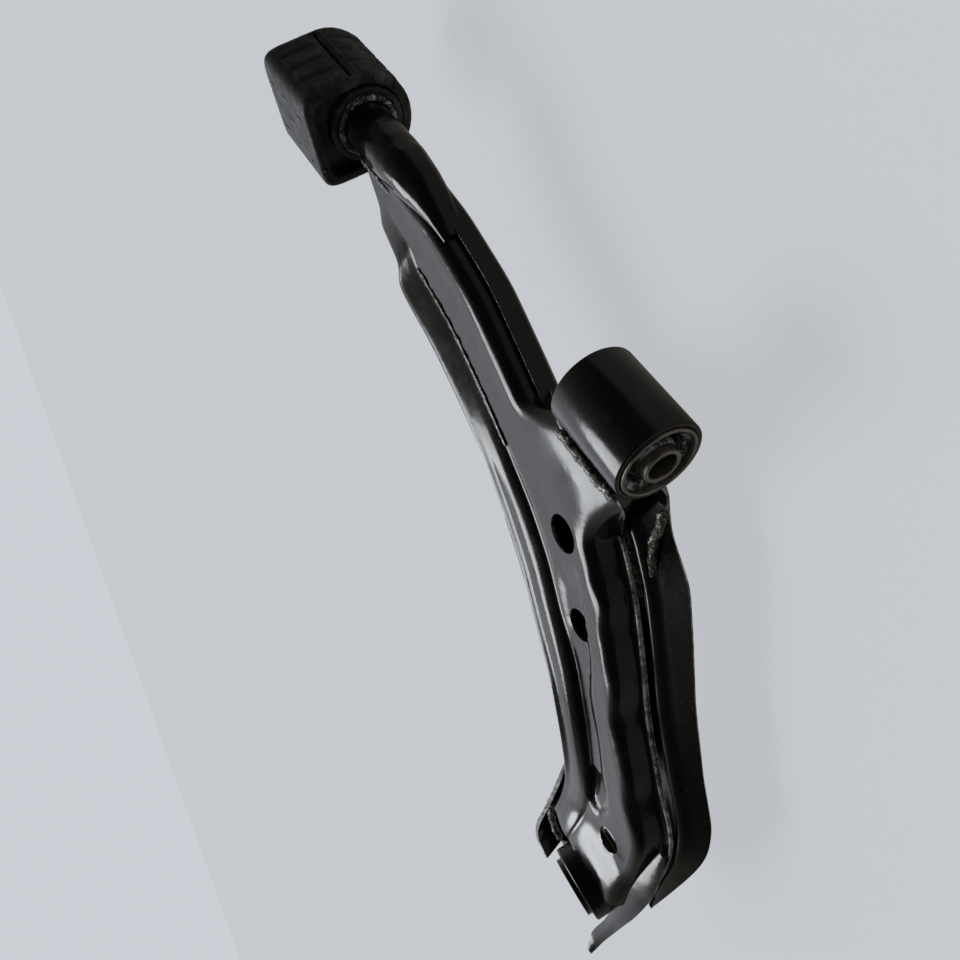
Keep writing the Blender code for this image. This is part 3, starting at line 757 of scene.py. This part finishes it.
def make_front_rubber(matrix, outer, bore):
    """Rubber between the sleeves: rough ends with two crescent hollows."""
    steps, rings = 144, 22
    hollow_depth, hollow_turn = 7.0, 0.9
    grid = []
    for i in range(steps):
        angle = 2 * math.pi * i / steps
        hollow = smoothstep(0.55, 0.85, abs(math.cos(angle - hollow_turn)))
        row = []
        for end in (1, -1):
            side = []
            for j in range(rings + 1):
                u = j / rings
                radius = mix(bore, outer, u)
                groove = smoothstep(0.10, 0.24, u) * (1 - smoothstep(0.52, 0.66, u))
                depth = 1.5 + 2.2 * math.sin(math.pi * u) + hollow_depth * hollow * groove
                where = Vector((radius * math.cos(angle), radius * math.sin(angle), end * 10.0))
                depth += 0.7 * noise.fractal(where / 2.4, 0.8, 2.1, 4) * math.sin(math.pi * u)
                side.append((radius * math.cos(angle), radius * math.sin(angle), end * (TUBE_HALF - depth)))
            row += side if end > 0 else side[::-1]
        grid.append(row)
    grid = np.array(grid)
    faces = grid_faces(*grid.shape[:2], True, True)
    made = object_from("bush_rubber", grid.reshape(-1, 3), faces, [ROUGH_RUBBER])
    made.data.transform(matrix)
    place_piece(orient(made, 60), "arm", "rubber", "front_bush_rubber")


# ---------------------------------------------------------------- rear bush and stub


def d_loop(grow, count=180):
    """Points round the D at even angles: a round back, straight sides and a flat base with soft corners."""
    radius, half, base = BUSH_RADIUS + grow, BUSH_HALF_WIDTH + grow, BUSH_BASE + grow
    soft = 8.0
    loop = []
    for i in range(count):
        angle = 2 * math.pi * i / count
        c, s = math.cos(angle), math.sin(angle)
        if s < 0:
            reach = 1 / math.sqrt((c / half) ** 2 + (s / radius) ** 2)
        else:
            reach = 1 / ((abs(c) / half) ** soft + (s / base) ** soft) ** (1 / soft)
        loop.append((reach * c, reach * s))
    return np.array(loop)


def bush_points(flat, y):
    """Turns section points about the hinge axis and sets them at their place along it."""
    c, s = math.cos(BUSH_TURN), math.sin(BUSH_TURN)
    x, z = flat[:, 0] * c - flat[:, 1] * s, flat[:, 0] * s + flat[:, 1] * c
    return np.stack([x, np.full(len(flat), HINGE_SPAN + y), z], axis=1)


def bush_side(count, y):
    """How far the bush's side stands in or out: the slit, ribs, raised panels and rough skin."""
    angles = np.linspace(0, 360, count, endpoint=False)
    along = y / BUSH_HALF_LENGTH
    slit = np.exp(-(((angles - 3.0) / 1.6) ** 2)) * (1.0 if along < 0.93 else 2.0)
    panel_y = 1 - smoothstep(0.70, 0.80, abs(((along + 0.96) / 0.48) % 1 * 2 - 1))
    flat_panels = smoothstep(9, 13, angles) * (1 - smoothstep(38, 43, angles))
    round_panels = smoothstep(300, 306, angles) * (1 - smoothstep(350, 354, angles))
    ledge = np.exp(-(((angles - 356.0) / 1.8) ** 2))
    return (flat_panels + 0.7 * round_panels) * panel_y + 0.7 * ledge - 2.6 * slit


def make_rear_bush():
    """D-shaped rubber: round boss and recess in each end, slit and panels on its side."""
    count = 240
    half = BUSH_HALF_LENGTH
    edge = 2.8  # how far the side stops short of each end, for the rounded rim
    turn = np.linspace(0, 2 * math.pi, count, endpoint=False)
    circle = np.stack([np.cos(turn), np.sin(turn)], axis=1)
    bore = 19.3

    def end(sign):
        """Loops from the bore out over boss, recess and rim to the outer edge."""
        made = []
        plan = (  # radius of a round loop, or growth of a D-shaped one, and depth below the end
            (bore, None, 1.2),
            (bore + 0.4, None, 0.3),
            (bore + 3.0, None, 0.3),
            (bore + 3.8, None, 1.0),
            (bore + 4.2, None, 6.0),
            (None, -7.6, 7.0),
            (None, -6.8, 6.6),
            (None, -6.2, 0.9),
            (None, -5.6, 0.35),
            (None, -2.8, 0.3),
            (None, -1.2, 0.7),
            (None, -0.4, 1.5),
            (None, 0.0, edge),
        )
        for radius, grow, depth in plan:
            flat = circle * radius if radius else d_loop(grow, count)
            made.append(bush_points(flat, sign * (half - depth)))
        return made

    outline = d_loop(0.0, count)
    normal = outline / np.hypot(outline[:, 0], outline[:, 1])[:, None]
    middle = []
    for step in range(1, 60):
        y = mix(-half + edge, half - edge, step / 60)
        fade = min(1.0, (half - edge - abs(y)) / 3.0)
        middle.append(bush_points(outline + normal * (bush_side(count, y) * fade)[:, None], y))
    loops = end(-1) + middle + end(1)[::-1]
    dense = []
    for a, b in zip(loops, loops[1:]):
        dense.append(a)
        if np.abs(a - b).max() > 2.5:
            dense += [mix(a, b, 1 / 3), mix(a, b, 2 / 3)]
    dense.append(loops[-1])
    points = np.concatenate(dense)
    for point in points:
        where = Vector(point)
        rough = 0.16 * noise.fractal(where / 2.0, 0.7, 2.0, 4)
        away = Vector((point[0], 0, point[2]))
        point += np.array(away.normalized() * rough)
    faces = grid_faces(len(dense), count, False, True)
    last = (len(dense) - 1) * count
    for j in range(count):
        k = (j + 1) % count
        faces.append((j, k, last + k, last + j))
    made = object_from("rear_bush", points, faces, [RUBBER])
    place_piece(orient(made, 50), "rear_bush", "rubber", "rear_bush_body")
    make_bush_marks()
    make_bush_ring()


def moulded_beads(name, places, radius, segments, rings, material):
    """Many small rounded bumps on the rear bush as one piece; places are matrices."""
    beads = bmesh.new()
    for matrix in places:
        bmesh.ops.create_uvsphere(
            beads, u_segments=segments, v_segments=rings, radius=radius * MM, matrix=matrix
        )
    mesh = bpy.data.meshes.new(name)
    beads.to_mesh(mesh)
    beads.free()
    mesh.shade_smooth()
    mesh.materials.append(material)
    made = bpy.data.objects.new(name, mesh)
    bpy.context.scene.collection.objects.link(made)
    place_piece(made, "rear_bush", "rubber")


def make_bush_marks():
    """Moulded pips on the rim of each end, and raised marks on the base."""
    rim = d_loop(-3.2, 240)
    pips = []
    for sign in (-1, 1):
        points = bush_points(rim, sign * (BUSH_HALF_LENGTH - 0.2))
        pips += [Matrix.Translation(Vector(points[index]) * MM) for index in (14, 78, 112, 205, 226)]
    moulded_beads("rear_bush_pips", pips, 1.25, 16, 10, RUBBER)
    c, s = math.cos(BUSH_TURN), math.sin(BUSH_TURN)
    lengthwise = Matrix.Rotation(-BUSH_TURN, 4, "Y") @ Matrix.Diagonal((0.8, 2.0, 0.45, 1))
    marks = []
    for u, y in (
        (-16, -20), (-2, -21), (14, -19), (-15, 2), (2, 0), (16, 4), (-14, 20), (3, 19), (15, 22)
    ):
        place = Vector((u * c - BUSH_BASE * s, HINGE_SPAN + y, u * s + BUSH_BASE * c))
        marks.append(Matrix.Translation(place * MM) @ lengthwise)
    moulded_beads("rear_bush_base_marks", marks, 1.5, 14, 8, ROUGH_RUBBER)


def make_bush_ring():
    """The inner ring's rough rubber lip round the stub."""
    half = BUSH_HALF_LENGTH + 1.4
    profile = ring(STUB_RADIUS + 0.4, 18.9, HINGE_SPAN - half, HINGE_SPAN + half, 1.2, 4)
    made = turned("rear_bush_ring", profile, frame_y(), [ROUGH_RUBBER], 120)
    for vert in made.data.vertices:
        where = vert.co / MM
        if abs(where.y - HINGE_SPAN) > BUSH_HALF_LENGTH - 1:
            vert.co.y += 0.4 * MM * noise.fractal(where / 1.6, 0.8, 2.0, 3)
    place_piece(made, "rear_bush", "bare_steel", "rear_bush_inner_ring")


def make_stub():
    """Round stub that runs back into the beam's wall."""
    radius = STUB_RADIUS
    end = HINGE_SPAN + BUSH_HALF_LENGTH + 2.0
    bent = 6  # how many of the first points the smooth curve runs through
    spine = (  # x, y, z, then the half width and half height
        (-17, 170, -7, 4.0, 7.0),
        (-9, 184, -5, 7.5, 9.5),
        (-4, 198, -3, 11.5, 12.0),
        (-1, 214, -1, 14.2, 14.0),
        (0, 232, 0, radius, radius),
        (0, 262, 0, radius, radius),
        (0, end - 1.5, 0, radius, radius),
        (0, end - 0.6, 0, radius - 0.5, radius - 0.5),
        (0, end, 0, radius - 2.0, radius - 2.0),
    )
    centres = [Vector(point[:3]) for point in spine]
    halves = [Vector((*point[3:], 0)) for point in spine]
    path = smooth_path(centres[:bent], 10) + centres[bent:]
    size = smooth_path(halves[:bent], 10) + halves[bent:]
    sides, points = 72, []
    for point, radii in zip(path, size):
        for j in range(sides):
            angle = 2 * math.pi * j / sides
            away = Vector((math.cos(angle) * radii.x, 0, math.sin(angle) * radii.y))
            dent = 0.35 * noise.fractal((point + away) / 9.0, 0.8, 2.0, 2) if point.y < 250 else 0.0
            points.append(point + away * (1 + dent / 15))
    faces = grid_faces(len(path), sides, False, True)
    faces += [tuple(range(sides)), tuple(range((len(path) - 1) * sides, len(path) * sides))]
    made = object_from("stub", points, faces, [PAINT])
    place_piece(orient(made), "arm", "black_paint", "rear_stub")


# ---------------------------------------------------------------- ball joint


def make_ball_joint():
    """Drum that carries the joint, the ridged cap pressed into it, and the boot."""
    matrix = ball_frame()
    drum = ring(20.5, DRUM_RADIUS, -20.0, 11.0, 1.6, 4)
    made = turned("joint_ring", drum, matrix, [PAINT], 120)
    place_piece(made, "arm", "black_paint", "ball_joint_ring")
    cap = [(0.0, 14.2), (13.0, 14.2), (13.6, 13.6), (17.6, 13.6), (18.6, 14.4)]
    height = 14.2
    for _ in range(3):
        cap += [(19.5, height), (19.6, height - 0.6), (18.7, height - 0.8), (18.7, height - 1.1)]
        height -= 1.15
    cap += [(20.1, 10.4), (20.1, -24.0), (19.2, -25.0), (16.6, -25.0)]
    cap += [(16.4, -24.6), (16.4, 8.2), (0.0, 8.2)]
    angles = np.linspace(0, 2 * math.pi, 120, endpoint=False)
    points = np.array([[(r * math.cos(a), r * math.sin(a), h) for r, h in cap] for a in angles])
    faces = grid_faces(len(angles), len(cap), True, False)
    made = object_from("joint_cap", points.reshape(-1, 3), faces, [DARK_STEEL])
    made.data.transform(matrix)
    place_piece(orient(made, 30), "arm", "dark_steel", "ball_joint_housing")
    make_boot(matrix)


def make_boot(matrix):
    """Soft boot between the housing and the stud, bulging with two folds."""
    top, low, stem = -25.4, -37.4, 8.9
    outside = []
    for step in range(41):
        u = step / 40
        bulge = 2.6 * math.sin(math.pi * u) ** 0.7
        radius = mix(12.6, 11.0, u) + bulge + 0.55 * math.sin(3 * math.tau * u)
        outside.append((radius, mix(top - 6.4, low + 0.4, u)))
    outside += [(11.2, low), (11.2, low - 0.6), (10.7, low - 0.8)]
    outside += [(10.7, low - 3.2), (11.2, low - 3.5), (11.0, low - 4.4)]
    inside = [(max(stem, r - 1.5), h) for r, h in outside[:38:2]] + [(stem, low), (stem, low - 4.4)]
    made = turned("dust_boot", outside + inside[::-1], matrix, [RUBBER], 72)
    place_piece(made, "boot", "rubber", "ball_joint_boot")


# ---------------------------------------------------------------- welds


def make_welds():
    """The five beads that the CAD model has."""
    reach = TUBE_RADIUS + 1.6
    grip = math.radians(139.0)
    x, z = reach * math.cos(grip) - 1.4, reach * math.sin(grip) + 1.2
    top = [(x, y, z) for y in (24, 14, 4, -8, -18, -25)]
    place_piece(bead("saddle_weld", top, 2.6, 0.5, 1.0), "arm", "weld", "weld_saddle")
    rear = []
    for edge, corner, floor, _, _ in STATIONS[4:FIRST_FRONT_STATION]:
        width = (Vector(corner) - Vector(edge)).length
        lip = min(LIP_WIDTH, 0.45 * width)
        rear.append((*across_point(edge, edge, corner, 0.82 * lip), floor + 0.5))
    place_piece(bead("rear_weld", rear, 1.3, 0.8, 2.0, 0.45), "arm", "weld", "weld_rear_seam")
    front = []
    for edge, corner, floor, _, _ in STATIONS[FIRST_FRONT_STATION:11]:
        front.append((*across_point(corner, edge, corner, 6.2), floor - WALL_DROP - 4.0))
    place_piece(bead("front_weld", front, 3.0, 0.6, 3.0, 1.0), "arm", "weld", "weld_front_seam")
    turn = math.radians(124.0)
    out = STUB_RADIUS + 0.6
    neck = [(out * math.cos(turn) - 0.5, y, out * math.sin(turn)) for y in (214, 224, 234, 244, 252)]
    place_piece(bead("neck_weld", neck, 1.5, 0.4, 4.0, 0.6), "arm", "weld", "weld_neck")
    loop = []
    for degrees in range(-62, 40, 12):
        angle = math.radians(degrees)
        height = 0.6 - 25.5 * math.cos(angle) * math.tan(BALL_TILT)
        loop.append(ball_point(DRUM_RADIUS + 0.6, angle, height))
    place_piece(bead("ring_weld", loop, 1.1, 0.6, 5.0), "arm", "weld", "weld_ring")
    make_extra_welds()
    make_cut_edge()


def ball_point(radius, angle, height):
    """A point round the ball joint's axis."""
    local = Vector((radius * math.cos(angle), radius * math.sin(angle), height))
    return BALL_PLACE + Matrix.Rotation(-BALL_TILT, 3, "Y") @ local


def across_point(start, edge, corner, off):
    """A point in plan, off from the start along the run from edge to corner."""
    run = (Vector(corner) - Vector(edge)).normalized()
    return tuple(Vector(start) + run * off)


def make_cut_edge():
    """The sheared edge of the upper stamping, along the foot of its inboard wall."""
    foot = []
    for edge, corner, floor, _, _ in STATIONS[FIRST_FRONT_STATION:]:
        foot.append((*across_point(corner, edge, corner, 6.0), floor - WALL_DROP + 0.2))
    path = smooth_path(foot, 12)
    made = swept("wall_foot_edge", path, [1.35] * len(path), [EDGE], 0.08, 4.0, 12, 1.0)
    place_piece(made, "arm", "black_paint")


def make_extra_welds():
    """Weld runs beside the ear, at the tip and below the bush, which the CAD model leaves out."""
    runs = {
        "ear_weld": ((-322, -36, 4), (-338, -38, 3), (-354, -43, 1), (-368, -52, -2)),
        "tip_weld": ((-250, -116, -26), (-266, -120, -26), (-284, -121, -24), (-300, -119, -20)),
        "wall_weld": ((-50, -20, -21), (-64, -20, -23), (-80, -18, -25), (-98, -22, -27), (-114, -29, -28)),
    }
    for seed, (name, points) in enumerate(runs.items()):
        place_piece(bead(name, points, 2.3, 0.45, 7.0 + seed, 0.9), "arm", "weld")


# ---------------------------------------------------------------- kept nodes, floor, light, camera


def finish_nodes():
    """Materials of the CAD nodes that stay as they are."""
    kept = {
        "ball_stud": STEEL,
        "ball_joint_seat": PLASTIC,
        "boot_small_clip": STEEL,
        "housing_snap_ring": STEEL,
    }
    for node, material in kept.items():
        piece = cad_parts[node]
        piece.data.materials.clear()
        piece.data.materials.append(material)


def make_floor():
    """Round board just below the part."""
    build = bmesh.new()
    bmesh.ops.create_circle(build, cap_ends=True, segments=96, radius=40.0)
    mesh = bpy.data.meshes.new("floor")
    build.to_mesh(mesh)
    build.free()
    mesh.materials.append(floor_material())
    floor = bpy.data.objects.new("floor", mesh)
    floor.location = (0, 0, cad_bounds[0][2] - 0.001)
    bpy.context.scene.collection.objects.link(floor)


CAMERA_PLACE = Vector((0.2936, -0.2169, 0.2245))
CAMERA_RIGHT = Vector((0.0928, -0.4819, -0.8713))
CAMERA_UP = Vector((0.658, 0.6865, -0.3096))
AWAY = CAMERA_RIGHT.cross(CAMERA_UP) * -1  # the way the camera looks


def make_camera():
    data = bpy.data.cameras.new("camera")
    data.sensor_width = 36.0
    data.lens = 36.0
    data.clip_start = 0.01
    data.clip_end = 200.0
    camera = bpy.data.objects.new("camera", data)
    back = -AWAY
    camera.matrix_world = Matrix.Translation(CAMERA_PLACE) @ Matrix(
        [[CAMERA_RIGHT[i], CAMERA_UP[i], back[i]] for i in range(3)]
    ).to_4x4()
    bpy.context.scene.collection.objects.link(camera)
    bpy.context.scene.camera = camera


def make_world():
    """Soft room: pale on the far side, warm and dim on the near one, and the floor's own tone beyond it."""
    world = bpy.data.worlds.new("studio")
    world.use_nodes = True
    bpy.context.scene.world = world
    tree = world.node_tree
    background = tree.nodes["Background"]
    place = tree.nodes.new("ShaderNodeTexCoord")
    dot = tree.nodes.new("ShaderNodeVectorMath")
    dot.operation = "DOT_PRODUCT"
    dot.inputs[1].default_value = Vector((AWAY.x, AWAY.y, 0.15)).normalized()
    tree.links.new(place.outputs["Generated"], dot.inputs[0])
    ramp = tree.nodes.new("ShaderNodeValToRGB")
    shift = tree.nodes.new("ShaderNodeMapRange")
    shift.inputs["From Min"].default_value = -1.0
    tree.links.new(dot.outputs["Value"], shift.inputs["Value"])
    tree.links.new(shift.outputs["Result"], ramp.inputs["Fac"])
    stops = ramp.color_ramp.elements
    stops[0].position, stops[0].color = 0.0, (0.02, 0.019, 0.017, 1)
    stops[1].position, stops[1].color = 1.0, (0.66, 0.70, 0.80, 1)
    between = (  # place on the way from the near side to the far one, and colour
        (0.40, (0.03, 0.028, 0.024, 1)),
        (0.60, (0.09, 0.078, 0.058, 1)),
        (0.78, (0.24, 0.22, 0.19, 1)),
        (0.92, (0.52, 0.54, 0.60, 1)),
    )
    for position, colour in between:
        stops.new(position).color = colour
    seen = tree.nodes.new("ShaderNodeLightPath")
    blend = tree.nodes.new("ShaderNodeMix")
    blend.data_type = "RGBA"
    blend.inputs[7].default_value = (0.60, 0.63, 0.67, 1)
    tree.links.new(seen.outputs["Is Camera Ray"], blend.inputs[0])
    tree.links.new(ramp.outputs["Color"], blend.inputs[6])
    tree.links.new(blend.outputs[2], background.inputs["Color"])
    background.inputs["Strength"].default_value = 1.0


def sun(name, place, angle, power, colour=(1.0, 1.0, 1.0)):
    """A broad far light; place is the way to it."""
    data = bpy.data.lights.new(name, "SUN")
    data.angle = math.radians(angle)
    data.energy = power
    data.color = colour
    light = bpy.data.objects.new(name, data)
    light.rotation_euler = Vector(place).to_track_quat("Z", "Y").to_euler()
    bpy.context.scene.collection.objects.link(light)


def make_lights():
    sun("window", (-0.5, 0.28, 0.82), 34, 2.1, (0.94, 0.97, 1.0))
    sun("fill", (-0.75, 0.55, 0.55), 60, 0.2, (1.0, 0.97, 0.92))


def main():
    """Builds every piece, then the stage."""
    make_upper()
    make_lower()
    make_ears()
    make_web()
    make_front_bush()
    make_rear_bush()
    make_stub()
    make_ball_joint()
    make_welds()
    finish_nodes()
    make_floor()
    make_world()
    make_lights()
    make_camera()
    bpy.context.scene.view_settings.view_transform = "Standard"


main()
bpy.context.view_layer.update()
